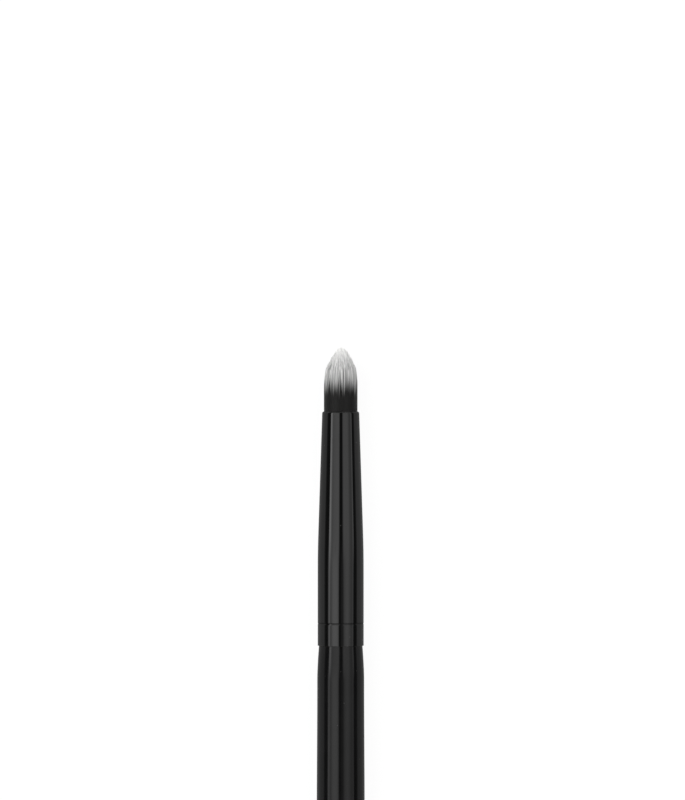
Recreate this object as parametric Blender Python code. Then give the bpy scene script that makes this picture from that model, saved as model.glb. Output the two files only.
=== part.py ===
"""A pencil-shaped eye make-up brush, lying on a table as it rests when nobody holds it.

A turned wooden handle carries a drawn metal ferrule on its tenon. The ferrule grips the packed roots of a
tuft whose hairs end on a bullet point. Thread ties the roots, a cup of set resin holds them in the bore, and
a film of glue holds the tenon. Lengths are in metres. Each piece is turned about its own +Z, which runs
from the handle's end to the tip, and an empty lays the whole brush down along +Y with +Z up.
"""

import math

import bmesh
import bpy

# Lengths that show along the brush
HANDLE_LENGTH = 0.1285
FERRULE_LENGTH = 0.0340
TUFT_LENGTH = 0.0094

# Gap between pieces that touch on the real brush
FIT_GAP = 0.0001

# Handle
HANDLE_RADIUS = 0.00341
NECK_STEP = 0.00016
FLARE_LENGTH = 0.0049
GRIP_LENGTH = 0.0600
END_RADIUS = 0.00230
END_FACE_RADIUS = 0.00150
END_ROUND_HEIGHT = 0.00090
SHOULDER_ROUND = 0.00005
TENON_SETBACK = 0.0020
TENON_CHAMFER = 0.0004

# Ferrule
BARREL_RADIUS = 0.00331
BARREL_LENGTH = 0.01365
MOUTH_RADIUS = 0.00268
FERRULE_WALL = 0.00020
CRIMP_HEIGHT = 0.00320
CRIMP_WIDTH = 0.00030
CRIMP_DEPTH = 0.00006

# Glue film on the tenon, and resin round the roots
GLUE_THICKNESS = 0.00010
VOID_LENGTH = 0.0070
RESIN_FLOOR = 0.0020
RESIN_HEIGHT = 0.0070

# Thread tied round the roots
THREAD_HEIGHT = 0.0026
THREAD_BAND = 0.0012
THREAD_THICKNESS = 0.00024

# Tuft
ROOT_DEPTH = 0.0008
ROOT_CHAMFER = 0.0003
TUFT_SPREAD = 0.00004
POINT_LENGTH = 0.0050
DYE_HEIGHT = 0.0036
DYE_SPREAD = 0.0012
LENGTH_SPREAD = 0.00035
STRAND_INSET = 0.000035
GATHER_SHARE = 0.10
TIP_WIDTH_SHARE = 0.45

# Counts and shape factors
SIDES = 28
STRAND_RINGS = 8
ARC_STEPS = 6
TAPER_STEPS = 12
FLARE_STEPS = 6
FLARE_POWER = 1.6
POINT_POWERS = (1.5, 0.7)
GOLDEN_SHARE = (math.sqrt(5) - 1) / 2

HALF_FACET = math.pi / SIDES
SMOOTH_ANGLE = math.radians(35)
MERGE_DISTANCE = 0.000001

# Heights worked out from the sizes above
FERRULE_BASE = HANDLE_LENGTH + FIT_GAP
BARREL_TOP = FERRULE_BASE + BARREL_LENGTH
MOUTH = FERRULE_BASE + FERRULE_LENGTH
TENON_TOP = BARREL_TOP - TENON_SETBACK
RESIN_BASE = TENON_TOP + VOID_LENGTH
ROOT_BASE = RESIN_BASE + RESIN_FLOOR + FIT_GAP
ROOT_TOP = MOUTH - ROOT_DEPTH

# Radii worked out from the ferrule, from the outside in
NECK_RADIUS = BARREL_RADIUS - NECK_STEP
BORE_RADIUS = BARREL_RADIUS - FERRULE_WALL
GLUE_RADIUS = BORE_RADIUS - FIT_GAP
TENON_RADIUS = GLUE_RADIUS - GLUE_THICKNESS - FIT_GAP
ROOT_RADIUS = MOUTH_RADIUS - FERRULE_WALL - FIT_GAP
TUFT_RADIUS = ROOT_RADIUS + TUFT_SPREAD


def clear_scene():
    for item in list(bpy.data.objects):
        bpy.data.objects.remove(item, do_unlink=True)


def material(name, color, roughness, metallic=0.0):
    made = bpy.data.materials.new(name)
    made.use_nodes = True
    shader = made.node_tree.nodes["Principled BSDF"]
    shader.inputs["Base Color"].default_value = (*color, 1.0)
    shader.inputs["Roughness"].default_value = roughness
    shader.inputs["Metallic"].default_value = metallic
    return made


def make_rest():
    """An empty that lays the brush along +Y, half way over the origin, with a facet on the table."""
    rest = bpy.data.objects.new("brush_rest", None)
    rest.location = (0, -(MOUTH + TUFT_LENGTH) / 2, HANDLE_RADIUS * math.cos(HALF_FACET))
    rest.rotation_euler = (-math.pi / 2, 0, 0)
    bpy.context.scene.collection.objects.link(rest)
    return rest


def add_object(name, bm, *materials):
    """Turn the mesh's faces outwards and hang it on the resting brush's axis, with a facet down."""
    bmesh.ops.recalc_face_normals(bm, faces=bm.faces[:])
    mesh = bpy.data.meshes.new(name)
    bm.to_mesh(mesh)
    bm.free()
    for each in materials:
        mesh.materials.append(each)
    mesh.shade_smooth()
    mesh.set_sharp_from_angle(angle=SMOOTH_ANGLE)
    made = bpy.data.objects.new(name, mesh)
    made.rotation_euler = (0, 0, HALF_FACET)
    made.parent = bpy.data.objects["brush_rest"]
    bpy.context.scene.collection.objects.link(made)
    return made


def turned(name, outline, look):
    """Spin an outline of (radius, height) points round the axis.

    An outline that starts on the axis is a solid stick, and any other is closed into a ring.
    """
    bm = bmesh.new()
    points = [bm.verts.new((radius, 0, height)) for radius, height in outline]
    for start, end in zip(points, points[1:]):
        bm.edges.new((start, end))
    if outline[0][0] > 0:
        bm.edges.new((points[-1], points[0]))
    bmesh.ops.spin(
        bm,
        geom=bm.verts[:] + bm.edges[:],
        axis=(0, 0, 1),
        cent=(0, 0, 0),
        angle=math.tau,
        steps=SIDES,
        use_merge=True,
    )
    bmesh.ops.remove_doubles(bm, verts=bm.verts[:], dist=MERGE_DISTANCE)
    return add_object(name, bm, look)


def steps(count):
    return [step / count for step in range(count + 1)]


def crimp_points(radius):
    """The pressed line as it shows on a layer of the given radius, from below it to above it."""
    middle = FERRULE_BASE + CRIMP_HEIGHT
    half = CRIMP_WIDTH / 2
    return [(radius, middle - half), (radius - CRIMP_DEPTH, middle), (radius, middle + half)]


def ferrule_radius(height):
    """Outside of the ferrule: a straight barrel, then an even taper to the mouth."""
    share = max(0, (height - BARREL_TOP) / (MOUTH - BARREL_TOP))
    return BARREL_RADIUS + (MOUTH_RADIUS - BARREL_RADIUS) * share


def make_handle(look):
    outline = [(0, 0)]
    for share in steps(ARC_STEPS):
        angle = share * math.pi / 2
        radius = END_FACE_RADIUS + (END_RADIUS - END_FACE_RADIUS) * math.sin(angle)
        outline.append((radius, END_ROUND_HEIGHT * (1 - math.cos(angle))))

    grip_base = HANDLE_LENGTH - GRIP_LENGTH
    for share in steps(TAPER_STEPS)[1:]:
        swell = math.sin(share * math.pi / 2)
        radius = END_RADIUS + (HANDLE_RADIUS - END_RADIUS) * swell
        outline.append((radius, END_ROUND_HEIGHT + (grip_base - END_ROUND_HEIGHT) * share))

    flare_base = HANDLE_LENGTH - FLARE_LENGTH
    for share in steps(FLARE_STEPS):
        fall = share**FLARE_POWER
        radius = HANDLE_RADIUS + (NECK_RADIUS - HANDLE_RADIUS) * fall
        outline.append((radius, flare_base + (FLARE_LENGTH - SHOULDER_ROUND) * share))

    outline.append((NECK_RADIUS - SHOULDER_ROUND, HANDLE_LENGTH))
    outline.append((TENON_RADIUS, HANDLE_LENGTH))
    outline.extend(crimp_points(TENON_RADIUS))
    outline.append((TENON_RADIUS, TENON_TOP - TENON_CHAMFER))
    outline.append((TENON_RADIUS - TENON_CHAMFER, TENON_TOP))
    outline.append((0, TENON_TOP))
    return turned("handle", outline, look)


def make_ferrule(look):
    outline = [(BARREL_RADIUS, FERRULE_BASE)]
    outline.extend(crimp_points(BARREL_RADIUS))
    outline.append((BARREL_RADIUS, BARREL_TOP))

    lip = FERRULE_WALL / 2
    lip_base = MOUTH - lip
    for share in steps(ARC_STEPS):
        angle = share * math.pi
        middle = ferrule_radius(lip_base) - lip
        outline.append((middle + lip * math.cos(angle), lip_base + lip * math.sin(angle)))

    outline.append((BORE_RADIUS, BARREL_TOP))
    outline.extend(reversed(crimp_points(BORE_RADIUS)))
    outline.append((BORE_RADIUS, FERRULE_BASE))
    return turned("ferrule", outline, look)


def make_tenon_glue(look):
    base = FERRULE_BASE + SHOULDER_ROUND
    top = TENON_TOP - TENON_CHAMFER
    inside = GLUE_RADIUS - GLUE_THICKNESS
    outline = [(GLUE_RADIUS, base)]
    outline.extend(crimp_points(GLUE_RADIUS))
    outline.extend([(GLUE_RADIUS, top), (inside, top)])
    outline.extend(reversed(crimp_points(inside)))
    outline.append((inside, base))
    return turned("tenon_glue_film", outline, look)


def make_root_resin(look):
    """A cup whose outside follows the tapering bore and whose inside takes the packed roots."""
    top = RESIN_BASE + RESIN_HEIGHT
    floor = RESIN_BASE + RESIN_FLOOR
    inside = ROOT_RADIUS + FIT_GAP
    outline = [(0, RESIN_BASE)]
    for share in steps(TAPER_STEPS):
        height = RESIN_BASE + RESIN_HEIGHT * share
        outline.append((ferrule_radius(height) - FERRULE_WALL - FIT_GAP, height))
    outline.extend([(inside, top), (inside, floor), (0, floor)])
    return turned("root_resin_plug", outline, look)


def make_root_thread(look):
    tie = ROOT_BASE + THREAD_HEIGHT
    inside = ROOT_RADIUS - THREAD_THICKNESS
    outline = []
    for share in steps(2 * ARC_STEPS)[:-1]:
        angle = share * math.tau
        radius = inside + THREAD_THICKNESS / 2 * (1 + math.cos(angle))
        outline.append((radius, tie + THREAD_BAND / 2 * math.sin(angle)))
    return turned("root_tie_thread", outline, look)


def root_grid():
    """A round sheet of triangles with one cell for each strand, of radius 1."""
    bm = bmesh.new()
    bmesh.ops.create_circle(bm, cap_ends=True, cap_tris=True, segments=6, radius=1)
    bmesh.ops.subdivide_edges(bm, edges=bm.edges[:], cuts=STRAND_RINGS - 1, use_grid_fill=True)
    sector = math.radians(60)
    for vert in bm.verts:
        if vert.co.length > 0:
            angle = math.atan2(vert.co.y, vert.co.x)
            from_side = angle - sector * round(angle / sector)
            vert.co *= math.cos(from_side) / math.cos(sector / 2)
    return bm


def draw_root(bm, rim, radius, height):
    """Extend the open rim of the packed roots to a new radius and height."""
    made = bmesh.ops.extrude_edge_only(bm, edges=rim)["geom"]
    for vert in (item for item in made if isinstance(item, bmesh.types.BMVert)):
        flat = vert.co.xy.normalized() * radius
        vert.co = (flat.x, flat.y, height)
    return [item for item in made if isinstance(item, bmesh.types.BMEdge) and item.is_boundary]


def point_height(radius_share):
    """Height over the mouth at which the bullet point has this share of the tuft's radius."""
    outer, inner = POINT_POWERS
    fall_share = 1 - (1 - radius_share ** (1 / inner)) ** (1 / outer)
    return TUFT_LENGTH - POINT_LENGTH * fall_share


def face_middle(face):
    return face.calc_center_median().xy


def lift_end(face, spread_share, height, width_share):
    """Set a strand's end face at a height, with its middle moved out or in from the axis."""
    middle = face_middle(face)
    for vert in face.verts:
        flat = middle * spread_share + (vert.co.xy - middle) * width_share
        vert.co = (flat.x, flat.y, height)


def make_tuft(black, white):
    """Packed roots with a strand on each cell: black up to the dye line, white to its tip."""
    bm = root_grid()
    for vert in bm.verts:
        vert.co = (vert.co.x * ROOT_RADIUS, vert.co.y * ROOT_RADIUS, ROOT_TOP)
    cells = bm.faces[:]

    tie = ROOT_BASE + THREAD_HEIGHT
    half_band = THREAD_BAND / 2
    waist = ROOT_RADIUS - THREAD_THICKNESS - FIT_GAP
    rim = [edge for edge in bm.edges if edge.is_boundary]
    rim = draw_root(bm, rim, ROOT_RADIUS, tie + half_band + FIT_GAP)
    rim = draw_root(bm, rim, waist, tie + half_band)
    rim = draw_root(bm, rim, waist, tie - half_band)
    rim = draw_root(bm, rim, ROOT_RADIUS, tie - half_band - FIT_GAP)
    rim = draw_root(bm, rim, ROOT_RADIUS, ROOT_BASE + ROOT_CHAMFER)
    rim = draw_root(bm, rim, ROOT_RADIUS - ROOT_CHAMFER, ROOT_BASE)
    bmesh.ops.edgeloop_fill(bm, edges=rim)

    bmesh.ops.inset_individual(bm, faces=cells, thickness=STRAND_INSET, use_even_offset=True)
    wobbles = [(number * GOLDEN_SHARE) % 1 - 1 / 2 for number in range(len(cells))]

    ends = bmesh.ops.extrude_discrete_faces(bm, faces=cells)["faces"]
    for face, wobble in zip(ends, wobbles):
        lift_end(face, TUFT_RADIUS / ROOT_RADIUS, MOUTH + DYE_HEIGHT + DYE_SPREAD * wobble, 1)

    ends = bmesh.ops.extrude_discrete_faces(bm, faces=ends)["faces"]
    for face, wobble in zip(ends, wobbles):
        reach_share = face_middle(face).length / TUFT_RADIUS * (1 - GATHER_SHARE)
        height = MOUTH + point_height(reach_share) - LENGTH_SPREAD * (1 / 2 - wobble)
        lift_end(face, 1 - GATHER_SHARE, height, TIP_WIDTH_SHARE)

    for face in bm.faces:
        face.material_index = int(face.calc_center_median().z > MOUTH + DYE_HEIGHT)
    return add_object("bristle_tuft", bm, black, white)


clear_scene()
make_rest()
make_handle(material("black lacquer on wood", (0.012, 0.012, 0.013), 0.16))
make_ferrule(material("black gloss on aluminium", (0.018, 0.018, 0.018), 0.14, 0.3))
make_tenon_glue(material("set glue", (0.62, 0.55, 0.38), 0.4))
make_root_resin(material("set resin", (0.70, 0.60, 0.36), 0.25))
make_root_thread(material("cotton thread", (0.78, 0.76, 0.70), 0.9))
black_hair = material("hair dyed black", (0.018, 0.017, 0.016), 0.55)
white_hair = material("white hair", (0.78, 0.77, 0.75), 0.5)
make_tuft(black_hair, white_hair)
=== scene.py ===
"""A pencil-shaped eye make-up brush with a black lacquered handle, on a pale table and seen from above."""

import math
import random

import bpy
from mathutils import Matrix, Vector, noise


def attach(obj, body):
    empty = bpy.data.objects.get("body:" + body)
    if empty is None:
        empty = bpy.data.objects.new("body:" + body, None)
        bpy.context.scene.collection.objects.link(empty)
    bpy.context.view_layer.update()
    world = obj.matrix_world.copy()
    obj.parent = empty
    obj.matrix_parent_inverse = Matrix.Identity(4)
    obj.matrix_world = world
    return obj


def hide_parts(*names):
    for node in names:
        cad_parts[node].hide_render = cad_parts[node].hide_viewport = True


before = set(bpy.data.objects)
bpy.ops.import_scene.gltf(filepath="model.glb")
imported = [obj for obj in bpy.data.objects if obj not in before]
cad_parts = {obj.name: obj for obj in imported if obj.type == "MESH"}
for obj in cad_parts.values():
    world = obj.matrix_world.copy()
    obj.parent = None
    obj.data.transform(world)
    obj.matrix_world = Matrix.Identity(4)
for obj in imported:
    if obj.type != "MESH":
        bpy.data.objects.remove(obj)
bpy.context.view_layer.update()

# Brush lengths, in metres, measured up its axis from the handle's end
HANDLE_LENGTH = 0.1285
FERRULE_LENGTH = 0.0340
TUFT_LENGTH = 0.0094
FIT_GAP = 0.0001

# Handle
HANDLE_RADIUS = 0.00341
BELLY_RADIUS = 0.00349
BELLY_TOP = 0.0260
NECK_RADIUS = 0.00317
FLARE_LENGTH = 0.0049
FLARE_POWER = 1.6
GRIP_LENGTH = 0.0600
END_RADIUS = 0.00230
END_FACE_RADIUS = 0.00150
END_ROUND_HEIGHT = 0.00090
SHOULDER_ROUND = 0.00003
JOINT_GAP = 0.00001
TENON_RADIUS = 0.00281
TENON_LENGTH = 0.01175
TENON_CHAMFER = 0.0004

# Ferrule
BARREL_RADIUS = 0.00334
BARREL_LENGTH = 0.01365
BARREL_BLEND = 0.0050
MOUTH_RADIUS = 0.00269
FERRULE_WALL = 0.00020
FOOT_ROUND = 0.00002
FOOT_RING_HEIGHT = 0.00006
LIP_ROLL = 0.00035
LIP_TURN_IN = 0.00019
CRIMP_HEIGHT = 0.00320
CRIMP_WIDTH = 0.00026
CRIMP_DEPTH = 0.00004
CRIMP_MARGIN = 0.1

# The bore's rounded edge at the mouth, as distances out from the bore and down from the mouth
BORE_EDGE = ((0.000006, 0.000008), (0, 0.00003))

# Tuft
ROOT_LENGTH = 0.00405
ROOT_DEPTH = 0.0008
ROOT_CHAMFER = 0.0003
ROOT_RADIUS = 0.00238
TUFT_RADIUS = 0.00245
THREAD_HEIGHT = 0.0026
THREAD_BAND = 0.0012
THREAD_THICKNESS = 0.00024
POINT_LENGTH = 0.0050
POINT_POWERS = (1.5, 0.7)
GATHER_HEIGHT = 0.0032
GATHER_SHARE = 0.14
POINT_FULLNESS = 0.008
TIP_CLEARANCE = 0.0001
DYE_HEIGHT = 0.0033
HAIR_INSET = 0.000008

# Each station of a hair: share of its length, distance kept from its end, and share of its width
HAIR_STATIONS = (
    (0, 0, 1),
    (0.5, 0, 1),
    (1, 0.0020, 1),
    (1, 0.0010, 0.96),
    (1, 0.0003, 0.84),
    (1, 0, 0.45),
)

# How far one hair differs from the next: its cell, its length, its lean, its dye line and its tone
SEED = 11
CELL_UNEVENNESS = 0.22
LENGTH_SPREAD = (-0.00016, 0.00012)
SHORT_HAIRS = 0.06
SHORT_BY = (0.0002, 0.0008)
POINT_LEAN = 0.00007
CLUMP_SIZE = 0.00034
CLUMP_LAYER = 3.0
CLUMP_PULL = 1.6
CLUMP_LEAN = 0.00009
OWN_LEAN = 0.00003
STREAKS_ROUND = 16
STREAK_CHANGE_INWARD = 2.0
DYE_STREAK = 0.0012
DYE_SPREAD = 0.0008
LATE_HAIRS = 0.05
LATE_BY = (0.0008, 0.0030)
# Tone streaks make whole clumps darker or paler: partly the hair's own tone, partly painted shade in the
# gaps between clumps
TONE_AND_PAINTED_SHADE_STREAK = 0.8
TONE_SPREAD = 0.26

# How finely the forms are drawn
TURNED_SIDES = 128
HAIR_RINGS = 24
GRID_DIGITS = 4
FACING_UP = 0.9
END_STEPS = 10
TAPER_STEPS = 24
BELLY_STEPS = 12
FLARE_STEPS = 16
TUBE_STEPS = 20
LIP_STEPS = 12
CRIMP_STEPS = 12
SMALL_ROUND_MIDDLE = 0.3
TURNED_SMOOTH_ANGLE = math.radians(35)
HAIR_SMOOTH_ANGLE = math.radians(80)

# Picture
PICTURE_HEIGHT = 0.11629
PICTURE_MIDDLE = (0.00026, 0.07829)
SENSOR_WIDTH = 36.0
LENS = 250.0

# Table and lamps
TABLE_RADIUS = 3.0
TABLE_SIDES = 96
LAMP_DISTANCE = 0.9
LAMP_START = -0.45
LAMP_END = 0.70
LAMP_SWEEP = math.radians(72)
LAMP_RADIANCE = 7.0
LAMP_CHANGE = 0.10
QUARTER_TURN = 90

# Heights up the brush, worked out from its lengths
FERRULE_BASE = HANDLE_LENGTH + FIT_GAP
BARREL_TOP = FERRULE_BASE + BARREL_LENGTH
MOUTH = FERRULE_BASE + FERRULE_LENGTH
ROOT_TOP = MOUTH - ROOT_DEPTH

# Where the brush lies: its solid grip has this many sides and rests on one of them, and its axis runs
# along +Y with its middle over the origin
GRIP_SIDES = 28
HANDLE_END = -(MOUTH + TUFT_LENGTH) / 2
AXIS_HEIGHT = HANDLE_RADIUS * math.cos(math.pi / GRIP_SIDES)
TABLE_HEIGHT = AXIS_HEIGHT - BELLY_RADIUS


def pick(piece):
    """Select one piece and nothing else."""
    bpy.ops.object.select_all(action="DESELECT")
    bpy.context.view_layer.objects.active = piece
    piece.select_set(True)


def edit(piece):
    """Open one piece for editing, with nothing else selected."""
    pick(piece)
    bpy.ops.object.mode_set(mode="EDIT")


def draw_rings(outline):
    """Draw the selected ring through the (radius, height) points of an outline, from its first one on."""
    for (radius, height), (next_radius, next_height) in zip(outline, outline[1:]):
        bpy.ops.mesh.extrude_region_move(TRANSFORM_OT_translate={"value": (0, 0, next_height - height)})
        share = next_radius / radius
        bpy.ops.transform.resize(value=(share, share, 1), center_override=(0, 0, next_height))


def lay_down(piece):
    """Lay a piece that was made upright along the table, with its place in its mesh."""
    pick(piece)
    piece.rotation_euler = (-math.pi / 2, 0, 0)
    piece.location = (0, HANDLE_END, AXIS_HEIGHT)
    bpy.ops.object.transform_apply(location=True, rotation=True, scale=True)


def turned(name, outline, tube=False):
    """Turn a piece round the axis from its outline. A tube's last ring is joined to its first."""
    radius, height = outline[0]
    bpy.ops.object.select_all(action="DESELECT")
    bpy.ops.mesh.primitive_circle_add(vertices=TURNED_SIDES, radius=radius, location=(0, 0, height))
    piece = bpy.context.object
    piece.name = name
    bpy.ops.object.transform_apply(location=True, rotation=True, scale=True)
    edit(piece)
    bpy.ops.mesh.select_mode(type="VERT")
    bpy.ops.mesh.select_all(action="SELECT")
    draw_rings(outline)
    bpy.ops.mesh.select_all(action="DESELECT")
    bpy.ops.mesh.select_non_manifold()
    if tube:
        bpy.ops.mesh.bridge_edge_loops()
    else:
        bpy.ops.mesh.fill_holes(sides=0)
    bpy.ops.mesh.select_all(action="SELECT")
    bpy.ops.mesh.normals_make_consistent(inside=False)
    bpy.ops.object.mode_set(mode="OBJECT")
    lay_down(piece)
    bpy.ops.object.shade_smooth_by_angle(angle=TURNED_SMOOTH_ANGLE)
    return piece


def steps(count):
    """Even shares from 0 to 1."""
    return [step / count for step in range(count + 1)]


def ease(share):
    """A share from 0 to 1, with a soft start and a soft end."""
    share = min(1, max(0, share))
    return share * share * (3 - 2 * share)


def crimp_depth(height):
    """How deep the line pressed round the ferrule is at a height."""
    share = abs(height - FERRULE_BASE - CRIMP_HEIGHT) / (CRIMP_WIDTH / 2)
    return CRIMP_DEPTH * ease(1 - share)


def crimp_heights():
    """Rings through the crimp, with one more on the flat wall on each side of it."""
    middle = FERRULE_BASE + CRIMP_HEIGHT
    shares = [-CRIMP_MARGIN, *steps(CRIMP_STEPS), 1 + CRIMP_MARGIN]
    return [middle + CRIMP_WIDTH * (share - 1 / 2) for share in shares]


def handle_outline():
    """From the flat end up the taper, the belly and the flared neck to the shoulder and the tenon."""
    outline = []
    for share in steps(END_STEPS):
        angle = share * math.pi / 2
        radius = END_FACE_RADIUS + (END_RADIUS - END_FACE_RADIUS) * math.sin(angle)
        outline.append((radius, END_ROUND_HEIGHT * (1 - math.cos(angle))))
    grip_base = HANDLE_LENGTH - GRIP_LENGTH
    for share in steps(TAPER_STEPS)[1:]:
        radius = END_RADIUS + (BELLY_RADIUS - END_RADIUS) * math.sin(share * math.pi / 2)
        outline.append((radius, END_ROUND_HEIGHT + (grip_base - END_ROUND_HEIGHT) * share))
    flare_base = HANDLE_LENGTH - FLARE_LENGTH
    belly_top = HANDLE_LENGTH - BELLY_TOP
    for share in steps(BELLY_STEPS)[:-1]:
        radius = BELLY_RADIUS + (HANDLE_RADIUS - BELLY_RADIUS) * ease(share)
        outline.append((radius, belly_top + (flare_base - belly_top) * share))
    for share in steps(FLARE_STEPS):
        radius = HANDLE_RADIUS + (NECK_RADIUS - HANDLE_RADIUS) * share**FLARE_POWER
        outline.append((radius, flare_base + (FLARE_LENGTH - SHOULDER_ROUND) * share))
    shoulder = FERRULE_BASE - JOINT_GAP
    cut = SHOULDER_ROUND * SMALL_ROUND_MIDDLE
    outline.append((NECK_RADIUS - cut, shoulder - cut))
    outline.append((NECK_RADIUS - SHOULDER_ROUND, shoulder))
    outline.append((TENON_RADIUS, shoulder))
    for height in crimp_heights():
        outline.append((TENON_RADIUS - crimp_depth(height), height))
    tenon_top = HANDLE_LENGTH + TENON_LENGTH
    outline.append((TENON_RADIUS, tenon_top - TENON_CHAMFER))
    outline.append((TENON_RADIUS - TENON_CHAMFER, tenon_top))
    return outline


def tube_radius(height):
    """Outside of the ferrule: a straight barrel that eases into the taper."""
    slope = (BARREL_RADIUS - MOUTH_RADIUS) / (MOUTH - BARREL_TOP)
    past = height - (BARREL_TOP - BARREL_BLEND / 2)
    if past <= 0:
        return BARREL_RADIUS
    if past < BARREL_BLEND:
        return BARREL_RADIUS - slope * past * past / (2 * BARREL_BLEND)
    return BARREL_RADIUS - slope * (past - BARREL_BLEND / 2)


def ferrule_outline():
    """Up the outside of the tube from its foot, over the lip, and down the bore."""
    outline = [(BARREL_RADIUS - FOOT_ROUND, FERRULE_BASE)]
    cut = FOOT_ROUND * SMALL_ROUND_MIDDLE
    outline.append((BARREL_RADIUS - cut, FERRULE_BASE + cut))
    outline.append((BARREL_RADIUS, FERRULE_BASE + FOOT_ROUND))
    outline.append((BARREL_RADIUS, FERRULE_BASE + FOOT_RING_HEIGHT))
    for height in crimp_heights():
        outline.append((BARREL_RADIUS - crimp_depth(height), height))
    roll_base = MOUTH - LIP_ROLL
    blend_base = BARREL_TOP - BARREL_BLEND / 2
    for share in steps(TUBE_STEPS):
        height = blend_base + (roll_base - blend_base) * share
        outline.append((tube_radius(height), height))
    roll_radius = tube_radius(roll_base)
    for share in steps(LIP_STEPS)[1:]:
        angle = share * math.pi / 2
        turn_in = LIP_TURN_IN * (1 - math.cos(angle))
        outline.append((roll_radius - turn_in, roll_base + LIP_ROLL * math.sin(angle)))
    for out, down in BORE_EDGE:
        outline.append((MOUTH_RADIUS - FERRULE_WALL + out, MOUTH - down))
    outline.append((tube_radius(BARREL_TOP) - FERRULE_WALL, BARREL_TOP))
    bore = BARREL_RADIUS - FERRULE_WALL
    for height in reversed(crimp_heights()):
        outline.append((bore - crimp_depth(height), height))
    outline.append((bore, FERRULE_BASE))
    return outline


def point_height(radius_share):
    """Height over the mouth at which the bullet point has this share of the tuft's radius."""
    outer, inner = POINT_POWERS
    fall_share = 1 - (1 - min(1, radius_share) ** (1 / inner)) ** (1 / outer)
    return TUFT_LENGTH - POINT_LENGTH * fall_share


def clump_lean(x, y):
    """Two numbers from about -1 to 1 that neighbouring hairs share, so that they lean together."""
    lean = noise.noise_vector(Vector((x / CLUMP_SIZE, y / CLUMP_SIZE, CLUMP_LAYER)))
    return lean.x * CLUMP_PULL, lean.y * CLUMP_PULL


def grid_place(vert):
    """Row and column of a grid corner, rounded so that the grid has one order."""
    return round(vert.co.y, GRID_DIGITS), round(vert.co.x, GRID_DIGITS)


def make_roots():
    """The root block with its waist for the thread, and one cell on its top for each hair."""
    bpy.ops.object.select_all(action="DESELECT")
    bpy.ops.mesh.primitive_circle_add(vertices=6, radius=1, fill_type="TRIFAN")
    tuft = bpy.context.object
    tuft.name = "hair_tuft"
    edit(tuft)
    bpy.ops.mesh.select_all(action="SELECT")
    bpy.ops.mesh.subdivide(number_cuts=HAIR_RINGS - 1)
    bpy.ops.object.mode_set(mode="OBJECT")

    sector = math.radians(60)
    unevenness = CELL_UNEVENNESS / HAIR_RINGS
    for vert in sorted(tuft.data.vertices, key=grid_place):
        flat = vert.co.xy
        if flat.length > 0:
            angle = math.atan2(flat.y, flat.x)
            flat *= math.cos(angle - sector * round(angle / sector)) / math.cos(sector / 2)
        if flat.length < 1 - unevenness:
            flat += Vector((random.uniform(-1, 1), random.uniform(-1, 1))) * unevenness
        vert.co = (flat.x * ROOT_RADIUS, flat.y * ROOT_RADIUS, ROOT_TOP)

    root_base = ROOT_TOP - ROOT_LENGTH
    tie = root_base + THREAD_HEIGHT
    half_band = THREAD_BAND / 2
    waist = ROOT_RADIUS - THREAD_THICKNESS - FIT_GAP
    edit(tuft)
    bpy.ops.mesh.select_mode(type="VERT")
    bpy.ops.mesh.select_all(action="DESELECT")
    bpy.ops.mesh.select_non_manifold()
    draw_rings(
        [
            (ROOT_RADIUS, ROOT_TOP),
            (ROOT_RADIUS, tie + half_band + FIT_GAP),
            (waist, tie + half_band),
            (waist, tie - half_band),
            (ROOT_RADIUS, tie - half_band - FIT_GAP),
            (ROOT_RADIUS, root_base + ROOT_CHAMFER),
            (ROOT_RADIUS - ROOT_CHAMFER, root_base),
        ]
    )
    bpy.ops.mesh.select_mode(type="EDGE")
    bpy.ops.mesh.edge_face_add()
    bpy.ops.mesh.select_all(action="SELECT")
    bpy.ops.mesh.normals_make_consistent(inside=False)
    bpy.ops.object.mode_set(mode="OBJECT")
    return tuft


def plan_hair(x, y):
    """Where one hair ends, how it leans, and its tone and dye line, from the middle of its cell."""
    share = math.hypot(x, y) / ROOT_RADIUS
    lean_x, lean_y = clump_lean(x, y)
    cut_share = max(0, share * (1 - GATHER_SHARE) - POINT_FULLNESS)
    length = point_height(cut_share) + random.uniform(*LENGTH_SPREAD)
    length = min(length, TUFT_LENGTH - TIP_CLEARANCE)
    if random.random() < SHORT_HAIRS:
        length -= random.uniform(*SHORT_BY)
    around = math.atan2(y, x)
    ring_x = math.cos(around) * STREAKS_ROUND
    ring_y = math.sin(around) * STREAKS_ROUND
    streak = noise.noise(Vector((ring_x, ring_y, share * STREAK_CHANGE_INWARD)))
    dye = DYE_HEIGHT + streak * DYE_STREAK + random.uniform(-1, 1) * DYE_SPREAD
    if random.random() < LATE_HAIRS:
        dye += random.uniform(*LATE_BY)
    return {
        "middle": (x, y),
        "length": length,
        "lean": (
            POINT_LEAN + lean_x * CLUMP_LEAN + random.uniform(-1, 1) * OWN_LEAN,
            lean_y * CLUMP_LEAN + random.uniform(-1, 1) * OWN_LEAN,
        ),
        # Tone: partly the hair's own tone, partly painted shade where clumps part
        "tone": min(1, max(0, 0.5 + streak * TONE_AND_PAINTED_SHADE_STREAK + random.uniform(-TONE_SPREAD, TONE_SPREAD))),
        "dye": dye,
    }


def plan_hairs(mesh):
    """Select the cells on top of the roots and plan one hair for each, in the order of their places."""
    cells = []
    for face in mesh.polygons:
        face.select = face.normal.z > FACING_UP and abs(face.center.z - ROOT_TOP) < FIT_GAP / 2
        if face.select:
            corners = sorted(tuple(mesh.vertices[index].co.xy) for index in face.vertices)
            cells.append((corners, face.index))
    hairs = []
    mesh.attributes.new("hair_number", "INT", "FACE")
    numbers = mesh.attributes["hair_number"].data
    for corners, index in sorted(cells):
        x, y = (sum(part) / len(corners) for part in zip(*corners))
        numbers[index].value = len(hairs)
        hairs.append(plan_hair(x, y))
    return hairs


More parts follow.
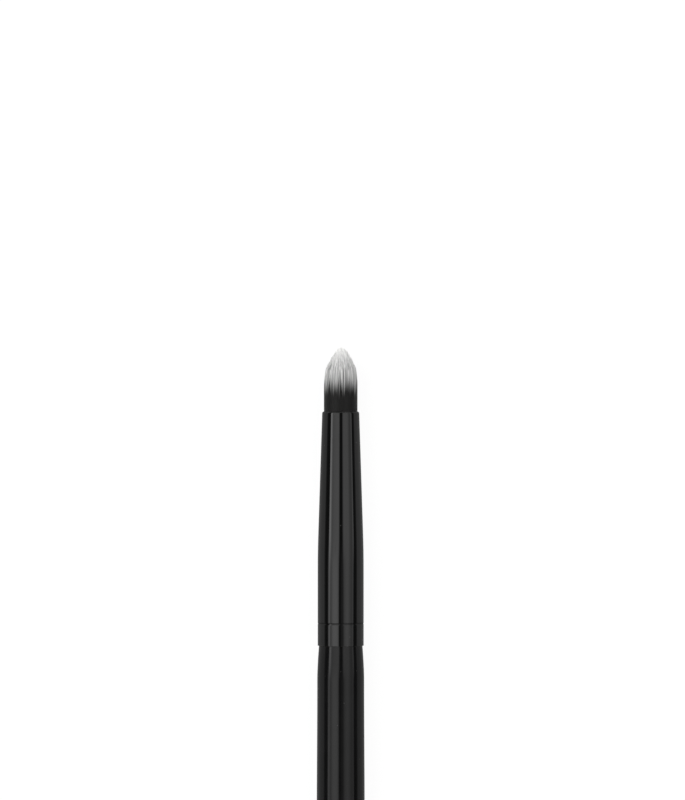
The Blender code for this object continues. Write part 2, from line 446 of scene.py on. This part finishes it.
def hair_point(hair, height):
    """Middle of a hair at a height over the mouth."""
    x, y = hair["middle"]
    run = max(0, (height - GATHER_HEIGHT) / (hair["length"] - GATHER_HEIGHT))
    spread = TUFT_RADIUS / ROOT_RADIUS * (1 - GATHER_SHARE * run * run)
    return x * spread + hair["lean"][0] * run, y * spread + hair["lean"][1] * run


def make_tuft():
    """Each cell of the roots drawn up to one hair, with its tone and its dye line kept for the finish."""
    tuft = make_roots()
    mesh = tuft.data
    hairs = plan_hairs(mesh)
    for vert in mesh.vertices:
        vert.select = False
    for edge in mesh.edges:
        edge.select = False
    edit(tuft)
    bpy.ops.mesh.select_mode(type="FACE")
    bpy.ops.mesh.inset(thickness=HAIR_INSET, use_individual=True, use_even_offset=True)
    bpy.ops.object.mode_set(mode="OBJECT")

    mesh.color_attributes.new("hair", "FLOAT_COLOR", "POINT")
    numbers = mesh.attributes["hair_number"].data
    tones = mesh.color_attributes["hair"].data
    for face in mesh.polygons:
        if face.select:
            hair = hairs[numbers[face.index].value]
            for index in face.vertices:
                tones[index].color = (hair["tone"], hair["dye"] / TUFT_LENGTH, 0, 1)

    width_before = 1
    for length_share, from_end, width in HAIR_STATIONS:
        edit(tuft)
        bpy.ops.mesh.extrude_faces_move(TRANSFORM_OT_shrink_fatten={"value": 0})
        bpy.ops.object.mode_set(mode="OBJECT")
        numbers = mesh.attributes["hair_number"].data
        for face in mesh.polygons:
            if face.select:
                hair = hairs[numbers[face.index].value]
                height = hair["length"] * length_share - from_end
                x, y = hair_point(hair, height)
                middle = face.center.copy()
                for index in face.vertices:
                    vert = mesh.vertices[index]
                    across = (vert.co - middle) * (width / width_before)
                    vert.co = (x + across.x, y + across.y, MOUTH + height)
        mesh.update()
        width_before = width

    tones = mesh.color_attributes["hair"].data
    for vert in mesh.vertices:
        tone, dye = tones[vert.index].color[:2]
        tones[vert.index].color = (tone, dye, max(0, vert.co.z - MOUTH) / TUFT_LENGTH, 1)
    lay_down(tuft)
    bpy.ops.object.shade_smooth_by_angle(angle=HAIR_SMOOTH_ANGLE)
    return tuft


def group(name, inputs, outputs):
    """An empty shader node group with number or vector inputs of given values, and its outputs."""
    tree = bpy.data.node_groups.new(name, "ShaderNodeTree")
    for label, value in inputs:
        kind = "NodeSocketVector" if value is None else "NodeSocketFloat"
        socket = tree.interface.new_socket(name=label, in_out="INPUT", socket_type=kind)
        if value is not None:
            socket.default_value = value
    for label in outputs:
        tree.interface.new_socket(name=label, in_out="OUTPUT", socket_type="NodeSocketFloat")
    return tree, tree.nodes.new("NodeGroupInput"), tree.nodes.new("NodeGroupOutput")


def math_node(tree, operation, first, second=None, third=None, clamp=False):
    """One operation on up to three values, each a number or another node's output."""
    node = tree.nodes.new("ShaderNodeMath")
    node.operation = operation
    node.use_clamp = clamp
    for socket, value in zip(node.inputs, (first, second, third)):
        if isinstance(value, (int, float)):
            socket.default_value = value
        elif value is not None:
            tree.links.new(value, socket)
    return node.outputs["Value"]


def noise_node(tree, vector, scale, detail):
    """Soft noise from 0 to 1. Its scale is a number or another node's output."""
    node = tree.nodes.new("ShaderNodeTexNoise")
    tree.links.new(vector, node.inputs["Vector"])
    if isinstance(scale, (int, float)):
        node.inputs["Scale"].default_value = scale
    else:
        tree.links.new(scale, node.inputs["Scale"])
    node.inputs["Detail"].default_value = detail
    return node.outputs["Fac"]


def stretch_node(tree, vector, scale):
    """Coordinates with their own scale along each axis."""
    node = tree.nodes.new("ShaderNodeMapping")
    tree.links.new(vector, node.inputs["Vector"])
    node.inputs["Scale"].default_value = scale
    return node.outputs["Vector"]


def ramp_node(tree, value, low, high, bottom=0.0, top=1.0):
    """A soft rise or fall from bottom to top, where a value goes from low to high."""
    node = tree.nodes.new("ShaderNodeMapRange")
    node.interpolation_type = "SMOOTHSTEP"
    tree.links.new(value, node.inputs["Value"])
    for label, setting in (("From Min", low), ("From Max", high), ("To Min", bottom), ("To Max", top)):
        node.inputs[label].default_value = setting
    return node.outputs["Result"]


def blend_node(tree, share, first, second):
    """A share of the second colour over the first. Each is a colour or another node's output."""
    node = tree.nodes.new("ShaderNodeMix")
    node.data_type = "RGBA"
    tree.links.new(share, node.inputs["Factor"])
    for socket, colour in ((node.inputs["A"], first), (node.inputs["B"], second)):
        if isinstance(colour, tuple):
            socket.default_value = (*colour, 1)
        else:
            tree.links.new(colour, socket)
    return node.outputs["Result"]


def bump_node(tree, height, strength, distance):
    """Surface normals from a height, whose full range is a distance in metres."""
    node = tree.nodes.new("ShaderNodeBump")
    node.inputs["Strength"].default_value = strength
    node.inputs["Distance"].default_value = distance
    tree.links.new(height, node.inputs["Height"])
    return node.outputs["Normal"]


def coat_flow_group():
    """The slight waviness that a dipped or sprayed coat dries with."""
    tree, inside, out = group("coat flow", [("Place", None), ("Waves per metre", 900.0)], ["Height"])
    wide = noise_node(tree, inside.outputs["Place"], inside.outputs["Waves per metre"], 1.0)
    fine_scale = math_node(tree, "MULTIPLY", inside.outputs["Waves per metre"], 6.0)
    fine = noise_node(tree, inside.outputs["Place"], fine_scale, 2.0)
    fine_part = math_node(tree, "MULTIPLY", fine, 0.12)
    tree.links.new(math_node(tree, "ADD", wide, fine_part), out.inputs["Height"])
    return tree


def hairline_group():
    """Hairline scuffs from handling, mostly along the brush, where a stretched noise crosses a level."""
    tree, inside, out = group("hairline scuffs", [("Place", None), ("Amount", 0.5)], ["Mask"])
    along = noise_node(tree, stretch_node(tree, inside.outputs["Place"], (9000, 260, 9000)), 1.0, 3.0)
    around = noise_node(tree, stretch_node(tree, inside.outputs["Place"], (300, 8000, 300)), 1.0, 3.0)
    long_lines = ramp_node(tree, along, 0.64, 0.70)
    cross_lines = ramp_node(tree, around, 0.68, 0.73)
    lines = math_node(tree, "MAXIMUM", long_lines, cross_lines)
    patches = ramp_node(tree, noise_node(tree, inside.outputs["Place"], 160.0, 2.0), 0.42, 0.62)
    worn = math_node(tree, "MULTIPLY", lines, patches)
    mask = math_node(tree, "MULTIPLY", worn, inside.outputs["Amount"], clamp=True)
    tree.links.new(mask, out.inputs["Mask"])
    return tree


def ring_group(name, width):
    """An empty group for a ring round the brush, and how far a point is from its middle in ring widths."""
    inputs = [("Place", None), ("Along brush", 0.0), ("Width", width), ("Amount", 0.5)]
    tree, inside, out = group(name, inputs, ["Mask"])
    split = tree.nodes.new("ShaderNodeSeparateXYZ")
    tree.links.new(inside.outputs["Place"], split.inputs["Vector"])
    offset = math_node(tree, "SUBTRACT", split.outputs["Y"], inside.outputs["Along brush"])
    away = math_node(tree, "DIVIDE", math_node(tree, "ABSOLUTE", offset), inside.outputs["Width"])
    return tree, inside, out, away


def rubbed_edge_group():
    """A ring round the brush that hands and the table rub, broken up so that no two places wear alike."""
    tree, inside, out, away = ring_group("rubbed edge", 0.0002)
    near = ramp_node(tree, away, 0.0, 1.0, 1.0, 0.0)
    broken = ramp_node(tree, noise_node(tree, inside.outputs["Place"], 1500.0, 3.0), 0.40, 0.66)
    worn = math_node(tree, "MULTIPLY", near, broken)
    mask = math_node(tree, "MULTIPLY", worn, inside.outputs["Amount"], clamp=True)
    tree.links.new(mask, out.inputs["Mask"])
    return tree


def crimp_shade_group():
    """Painted shade: an even ring round the brush where the gloss coat is taken away, so that a pressed line
    shows dark.
    """
    tree, inside, out, away = ring_group("crimp painted shade", 0.0001)
    near = ramp_node(tree, away, 0.4, 1.0, 1.0, 0.0)
    tree.links.new(math_node(tree, "MULTIPLY", near, inside.outputs["Amount"]), out.inputs["Mask"])
    return tree


def dust_group():
    """Specks of dust, each a small round spot, in a few of the cells of a fine lattice."""
    inputs = [("Place", None), ("Cells per metre", 2500.0), ("Share", 0.1)]
    tree, inside, out = group("dust specks", inputs, ["Mask"])
    cells = tree.nodes.new("ShaderNodeTexVoronoi")
    tree.links.new(inside.outputs["Place"], cells.inputs["Vector"])
    tree.links.new(inside.outputs["Cells per metre"], cells.inputs["Scale"])
    spot = ramp_node(tree, cells.outputs["Distance"], 0.05, 0.16, 1.0, 0.0)
    split = tree.nodes.new("ShaderNodeSeparateColor")
    tree.links.new(cells.outputs["Color"], split.inputs["Color"])
    chosen = math_node(tree, "LESS_THAN", split.outputs["Red"], inside.outputs["Share"])
    tree.links.new(math_node(tree, "MULTIPLY", spot, chosen), out.inputs["Mask"])
    return tree


def new_finish(name):
    """A material with its node tree and Principled shader, and the piece's own coordinates."""
    made = bpy.data.materials.new(name)
    made.use_nodes = True
    tree = made.node_tree
    place = tree.nodes.new("ShaderNodeTexCoord").outputs["Object"]
    return made, tree, tree.nodes["Principled BSDF"], place


def place_group(tree, kind, place, **settings):
    """Use a shader node group in a material, and give its one output."""
    node = tree.nodes.new("ShaderNodeGroup")
    node.node_tree = kind
    tree.links.new(place, node.inputs["Place"])
    for label, value in settings.items():
        node.inputs[label.replace("_", " ")].default_value = value
    return node.outputs[0]


def gloss_black(
    name, groups, *, colour, worn_colour, coat, index, roughness, waves, wave_height, edges, grooves=()
):
    """A hard black gloss coat with flow, hairline scuffs, dust, and edges rubbed to what lies under it.
    Each edge and groove is given as its place along the brush, its width and its strength; a groove loses
    its gloss coat as painted shade."""
    made, tree, shader, place = new_finish(name)
    rubbed = None
    for along, width, amount in edges:
        edge = groups["rubbed edge"]
        ring = place_group(tree, edge, place, Along_brush=along, Width=width, Amount=amount)
        rubbed = ring if rubbed is None else math_node(tree, "MAXIMUM", rubbed, ring)
    scuffs = place_group(tree, groups["hairline scuffs"], place, Amount=0.5)
    dust = place_group(tree, groups["dust specks"], place, Cells_per_metre=2200.0, Share=0.05)
    flow = place_group(tree, groups["coat flow"], place, Waves_per_metre=waves)

    smoke = ramp_node(tree, noise_node(tree, place, 420.0, 3.0), 0.35, 0.70)
    body = blend_node(tree, smoke, colour, tuple(part * 1.35 for part in colour))
    worn = blend_node(tree, rubbed, body, worn_colour)
    dusty = blend_node(tree, math_node(tree, "MULTIPLY", dust, 0.12), worn, (0.55, 0.54, 0.52))
    tree.links.new(dusty, shader.inputs["Base Color"])

    clean = math_node(tree, "MULTIPLY_ADD", smoke, 0.02, roughness)
    scuffed = math_node(tree, "MULTIPLY_ADD", scuffs, 0.10, clean)
    rough = math_node(tree, "MULTIPLY_ADD", rubbed, 0.20, scuffed)
    dusty_rough = math_node(tree, "MULTIPLY_ADD", dust, 0.30, rough, clamp=True)
    tree.links.new(dusty_rough, shader.inputs["Roughness"])

    cut = math_node(tree, "MULTIPLY_ADD", scuffs, -0.25, flow)
    surface = bump_node(tree, cut, 1.0, wave_height)
    tree.links.new(surface, shader.inputs["Normal"])
    tree.links.new(surface, shader.inputs["Coat Normal"])
    # The coat is lost to scuffs and rubbed edges, and in grooves as painted shade
    wear_and_painted_shade = math_node(tree, "MAXIMUM", math_node(tree, "MULTIPLY", scuffs, 0.35), rubbed)
    for along, width, amount in grooves:
        groove = groups["crimp painted shade"]
        ring = place_group(tree, groove, place, Along_brush=along, Width=width, Amount=amount)
        wear_and_painted_shade = math_node(tree, "MAXIMUM", wear_and_painted_shade, ring)
    kept = math_node(tree, "MULTIPLY_ADD", wear_and_painted_shade, -coat, coat)
    tree.links.new(kept, shader.inputs["Coat Weight"])
    shader.inputs["Coat IOR"].default_value = index
    shader.inputs["Coat Roughness"].default_value = roughness
    shader.inputs["Specular IOR Level"].default_value = 0.0
    return made


def lacquer_finish(groups):
    """Sprayed black lacquer on wood, rubbed thin at the shoulder and on the butt."""
    return gloss_black(
        "black lacquer",
        groups,
        colour=(0.0025, 0.0025, 0.0026),
        worn_colour=(0.030, 0.024, 0.018),
        coat=0.216,
        index=1.62,
        roughness=0.11,
        waves=900.0,
        wave_height=0.0000012,
        edges=[(HANDLE_END + HANDLE_LENGTH, 0.00012, 0.3), (HANDLE_END + END_ROUND_HEIGHT / 2, 0.0008, 0.6)],
    )


def black_metal_finish(groups):
    """Black gloss on aluminium, paler where the lip and the cut foot are rubbed, with painted shade on the
    crimp, where the gloss coat is taken off its upper side.
    """
    return gloss_black(
        "black gloss metal",
        groups,
        colour=(0.0012, 0.0012, 0.0012),
        worn_colour=(0.08, 0.08, 0.08),
        coat=0.218,
        index=1.9,
        roughness=0.05,
        waves=600.0,
        wave_height=0.0000008,
        edges=[(HANDLE_END + MOUTH, 0.00020, 0.4), (HANDLE_END + FERRULE_BASE, 0.00012, 0.4)],
        # Painted shade: a ring with the gloss coat taken off darkens the crimp's upper side
        grooves=[(HANDLE_END + FERRULE_BASE + CRIMP_HEIGHT + CRIMP_WIDTH / 3, 0.00008, 0.7)],
    )


def hair_finish():
    """Hair dyed black from the root up to each hair's own line, and white above it. The white is greyer low
    down and paler at the tips: partly a dye fade, partly painted shade and painted light.
    """
    made, tree, shader, place = new_finish("black and white hair")
    facts = tree.nodes.new("ShaderNodeAttribute")
    facts.attribute_name = "hair"
    split = tree.nodes.new("ShaderNodeSeparateColor")
    tree.links.new(facts.outputs["Color"], split.inputs["Color"])
    tone, dye, height = (split.outputs[part] for part in ("Red", "Green", "Blue"))

    past_dye = math_node(tree, "SUBTRACT", height, dye)
    faded = ramp_node(tree, past_dye, -0.07, 0.24)
    # Painted shade and painted light: the white is greyer near the dye line and paler up to the tips. This
    # is partly the dye's own fade, partly painted shade low in the tuft and painted light at the tips.
    low_white_painted_shade = blend_node(tree, tone, (0.31, 0.31, 0.31), (0.76, 0.76, 0.75))
    upper = blend_node(tree, tone, (0.56, 0.56, 0.56), (0.94, 0.94, 0.93))
    white = blend_node(tree, ramp_node(tree, height, 0.52, 0.86), low_white_painted_shade, upper)
    pale = blend_node(tree, ramp_node(tree, height, 0.76, 0.97), white, (0.92, 0.92, 0.91))
    streaks = noise_node(tree, stretch_node(tree, place, (30000, 900, 30000)), 1.0, 3.0)
    # Painted sheen: the black hair is a little paler along fine lengthwise streaks
    painted_sheen = ramp_node(tree, streaks, 0.35, 0.7)
    black = blend_node(tree, painted_sheen, (0.004, 0.004, 0.004), (0.009, 0.0085, 0.008))
    tree.links.new(blend_node(tree, faded, black, pale), shader.inputs["Base Color"])
    tree.links.new(ramp_node(tree, streaks, 0.3, 0.7, 0.42, 0.60), shader.inputs["Roughness"])
    tree.links.new(bump_node(tree, streaks, 0.4, 0.00001), shader.inputs["Normal"])
    shader.inputs["Specular IOR Level"].default_value = 0.15
    return made


def thread_finish():
    """Waxed cotton: fine turns side by side, each with its twist, with painted shade in the hollows between
    turns.
    """
    made, tree, shader, place = new_finish("waxed cotton thread")
    turns = tree.nodes.new("ShaderNodeTexWave")
    turns.bands_direction = "Y"
    tree.links.new(place, turns.inputs["Vector"])
    turns.inputs["Scale"].default_value = 1100.0
    turns.inputs["Distortion"].default_value = 0.6
    fibre = noise_node(tree, stretch_node(tree, place, (9000, 24000, 9000)), 1.0, 4.0)
    # Painted shade: the cotton darkens towards the hollows between turns; the same mask gives the turns
    # their bump
    shade = math_node(tree, "MULTIPLY", turns.outputs["Fac"], ramp_node(tree, fibre, 0.2, 0.8, 0.6, 1.0))
    cotton = blend_node(tree, shade, (0.34, 0.32, 0.28), (0.80, 0.78, 0.71))
    tree.links.new(cotton, shader.inputs["Base Color"])
    tree.links.new(ramp_node(tree, fibre, 0.3, 0.7, 0.75, 0.95), shader.inputs["Roughness"])
    tree.links.new(bump_node(tree, shade, 0.8, 0.00005), shader.inputs["Normal"])
    return made


def set_resin_finish(name, pale, deep, roughness, bubbles_per_metre):
    """Set resin or glue: a clear amber that is deeper in places, with small bubbles."""
    made, tree, shader, place = new_finish(name)
    cloud = noise_node(tree, place, 700.0, 4.0)
    bubbles = tree.nodes.new("ShaderNodeTexVoronoi")
    tree.links.new(place, bubbles.inputs["Vector"])
    bubbles.inputs["Scale"].default_value = bubbles_per_metre
    bubble = ramp_node(tree, bubbles.outputs["Distance"], 0.10, 0.22, 1.0, 0.0)
    body = blend_node(tree, ramp_node(tree, cloud, 0.3, 0.7), deep, pale)
    bubbled = blend_node(tree, math_node(tree, "MULTIPLY", bubble, 0.5), body, (0.9, 0.86, 0.72))
    tree.links.new(bubbled, shader.inputs["Base Color"])
    tree.links.new(math_node(tree, "MULTIPLY_ADD", cloud, 0.2, roughness), shader.inputs["Roughness"])
    tree.links.new(bump_node(tree, bubble, 0.5, 0.00003), shader.inputs["Normal"])
    return made


def dress(piece, finish):
    """Give a piece one finish in place of any that it has."""
    piece.data.materials.clear()
    piece.data.materials.append(finish)


def make_camera():
    """Straight above the brush with a long lens, the tuft near the middle of an upright picture."""
    data = bpy.data.cameras.new("camera")
    data.sensor_width = SENSOR_WIDTH
    data.lens = LENS
    camera = bpy.data.objects.new("camera", data)
    bpy.context.scene.collection.objects.link(camera)
    camera.location = (*PICTURE_MIDDLE, AXIS_HEIGHT + PICTURE_HEIGHT * LENS / SENSOR_WIDTH)
    bpy.context.scene.camera = camera


def make_table():
    """A wide round pale table top, which the camera, gloss and glass see as white."""
    bpy.ops.object.select_all(action="DESELECT")
    middle = (0, 0, TABLE_HEIGHT)
    bpy.ops.mesh.primitive_circle_add(
        vertices=TABLE_SIDES, radius=TABLE_RADIUS, fill_type="NGON", location=middle
    )
    table = bpy.context.object
    table.name = "table_top"
    bpy.ops.object.transform_apply(location=True, rotation=True, scale=True)

    made = bpy.data.materials.new("pale table")
    made.use_nodes = True
    tree = made.node_tree
    shader = tree.nodes["Principled BSDF"]
    shader.inputs["Base Color"].default_value = (0.86, 0.86, 0.86, 1)
    shader.inputs["Roughness"].default_value = 0.9
    glow = tree.nodes.new("ShaderNodeEmission")
    glow.inputs["Strength"].default_value = 1.03
    path = tree.nodes.new("ShaderNodeLightPath")
    seen = math_node(tree, "ADD", path.outputs["Is Camera Ray"], path.outputs["Is Glossy Ray"])
    seen = math_node(tree, "ADD", seen, path.outputs["Is Transmission Ray"], clamp=True)
    share = math_node(tree, "MULTIPLY", seen, 0.90)
    mix = tree.nodes.new("ShaderNodeMixShader")
    tree.links.new(share, mix.inputs["Fac"])
    tree.links.new(shader.outputs["BSDF"], mix.inputs[1])
    tree.links.new(glow.outputs["Emission"], mix.inputs[2])
    tree.links.new(mix.outputs["Shader"], tree.nodes["Material Output"].inputs["Surface"])
    dress(table, made)


def softbox(name, side, tuft_end, handle_end):
    """A long flat lamp over the brush, from straight above it down to one side. Its cloth glows unevenly:
    each end is given as points of degrees from straight up and radiance, and the glow of one end eases
    into the other's along the brush."""
    middle = LAMP_SWEEP / 2
    width = 2 * LAMP_DISTANCE * math.tan(middle)
    length = LAMP_END - LAMP_START
    data = bpy.data.lights.new(name, "AREA")
    data.shape = "RECTANGLE"
    data.size = width
    data.size_y = length
    data.energy = LAMP_RADIANCE * math.pi * width * length
    lamp = bpy.data.objects.new(name, data)
    lamp.location = (
        side * LAMP_DISTANCE * math.sin(middle),
        (LAMP_START + LAMP_END) / 2,
        AXIS_HEIGHT + LAMP_DISTANCE * math.cos(middle),
    )
    lamp.rotation_euler = (0, side * middle, 0)
    lamp.visible_camera = False
    bpy.context.scene.collection.objects.link(lamp)

    data.use_nodes = True
    tree = data.node_tree
    cloth = tree.nodes.new("ShaderNodeNewGeometry")
    split = tree.nodes.new("ShaderNodeSeparateXYZ")
    tree.links.new(cloth.outputs["Position"], split.inputs["Vector"])
    across = math_node(tree, "ABSOLUTE", split.outputs["X"])
    rise = math_node(tree, "SUBTRACT", split.outputs["Z"], AXIS_HEIGHT)
    angle = math_node(tree, "ARCTAN2", across, rise)
    share = math_node(tree, "DIVIDE", angle, math.radians(QUARTER_TURN), clamp=True)
    glows = []
    for points in (handle_end, tuft_end):
        ramp = tree.nodes.new("ShaderNodeValToRGB")
        tree.links.new(share, ramp.inputs["Fac"])
        elements = ramp.color_ramp.elements
        while len(elements) > 1:
            elements.remove(elements[-1])
        for number, (degrees, radiance) in enumerate(points):
            position = degrees / QUARTER_TURN
            element = elements[0] if number == 0 else elements.new(position)
            element.position = position
            level = radiance / LAMP_RADIANCE
            element.color = (level, level, level, 1)
        glows.append(ramp.outputs["Color"])
    along = ramp_node(tree, split.outputs["Y"], 0.0, LAMP_CHANGE)
    tree.links.new(blend_node(tree, along, *glows), tree.nodes["Emission"].inputs["Color"])


def make_studio():
    """A soft grey room with a brighter horizon, and a long lamp on each side of the brush. The camera sees
    the room as white, and so do gloss and glass, except over the dark flags beside the brush."""
    world = bpy.data.worlds.new("studio")
    world.use_nodes = True
    tree = world.node_tree
    sky = tree.nodes["Background"]
    direction = tree.nodes.new("ShaderNodeTexCoord")
    split = tree.nodes.new("ShaderNodeSeparateXYZ")
    tree.links.new(direction.outputs["Generated"], split.inputs["Vector"])
    rise = ramp_node(tree, split.outputs["Z"], 0.0, 0.17, 1.0, 0.0)
    lit = blend_node(tree, rise, (0.13, 0.13, 0.13), (0.50, 0.50, 0.50))
    path = tree.nodes.new("ShaderNodeLightPath")
    clear_of_flags = ramp_node(tree, math_node(tree, "ABSOLUTE", split.outputs["Y"]), 0.58, 0.70)
    through = math_node(tree, "ADD", path.outputs["Is Glossy Ray"], path.outputs["Is Transmission Ray"])
    through = math_node(tree, "MULTIPLY", through, clear_of_flags)
    seen = math_node(tree, "ADD", path.outputs["Is Camera Ray"], through, clamp=True)
    tree.links.new(blend_node(tree, seen, lit, (1.0, 1.0, 1.0)), sky.inputs["Color"])
    bpy.context.scene.world = world

    softbox(
        "left softbox",
        -1,
        [
            (5, 0), (8, 1.55), (12, 2.7), (24, 2.65), (36, 2.5),
            (44, 2.1), (49, 2.75), (54, 5.4), (60, 6.3), (63, 0),
        ],
        [
            (8, 0), (10, 1.3), (14, 2.65), (22, 3.3), (32, 3.35),
            (40, 3.1), (48, 1.9), (54, 1.75), (60, 3.9), (68.5, 0),
        ],
    )
    softbox(
        "right softbox",
        1,
        [
            (8, 0), (12, 1.5), (17, 2.35), (24, 2.3), (40, 2.3),
            (50, 1.4), (60, 1.1), (65, 2.1), (69, 2.5), (70.5, 0),
        ],
        [
            (0, 0.25), (8, 0.32), (12, 0.55), (20, 1.75), (32, 2.2),
            (40, 1.95), (50, 1.3), (58, 1.1), (65, 1.7), (67, 0),
        ],
    )


random.seed(SEED)
noise.seed_set(SEED)
bpy.context.scene.view_settings.view_transform = "Standard"

groups = {
    "coat flow": coat_flow_group(),
    "hairline scuffs": hairline_group(),
    "rubbed edge": rubbed_edge_group(),
    "crimp painted shade": crimp_shade_group(),
    "dust specks": dust_group(),
}

handle = turned("lacquered_handle", handle_outline())
dress(handle, lacquer_finish(groups))
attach(handle, "root")
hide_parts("handle")

ferrule = turned("drawn_ferrule", ferrule_outline(), tube=True)
dress(ferrule, black_metal_finish(groups))
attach(ferrule, "root")
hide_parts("ferrule")

tuft = make_tuft()
dress(tuft, hair_finish())
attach(tuft, "root")
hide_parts("bristle_tuft")

resin = set_resin_finish(
    "set root resin",
    pale=(0.70, 0.60, 0.36),
    deep=(0.46, 0.34, 0.15),
    roughness=0.16,
    bubbles_per_metre=2600.0,
)
glue = set_resin_finish(
    "set wood glue",
    pale=(0.66, 0.60, 0.44),
    deep=(0.50, 0.42, 0.26),
    roughness=0.35,
    bubbles_per_metre=4200.0,
)
dress(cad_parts["root_tie_thread"], thread_finish())
dress(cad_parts["root_resin_plug"], resin)
dress(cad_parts["tenon_glue_film"], glue)

make_camera()
make_table()
make_studio()
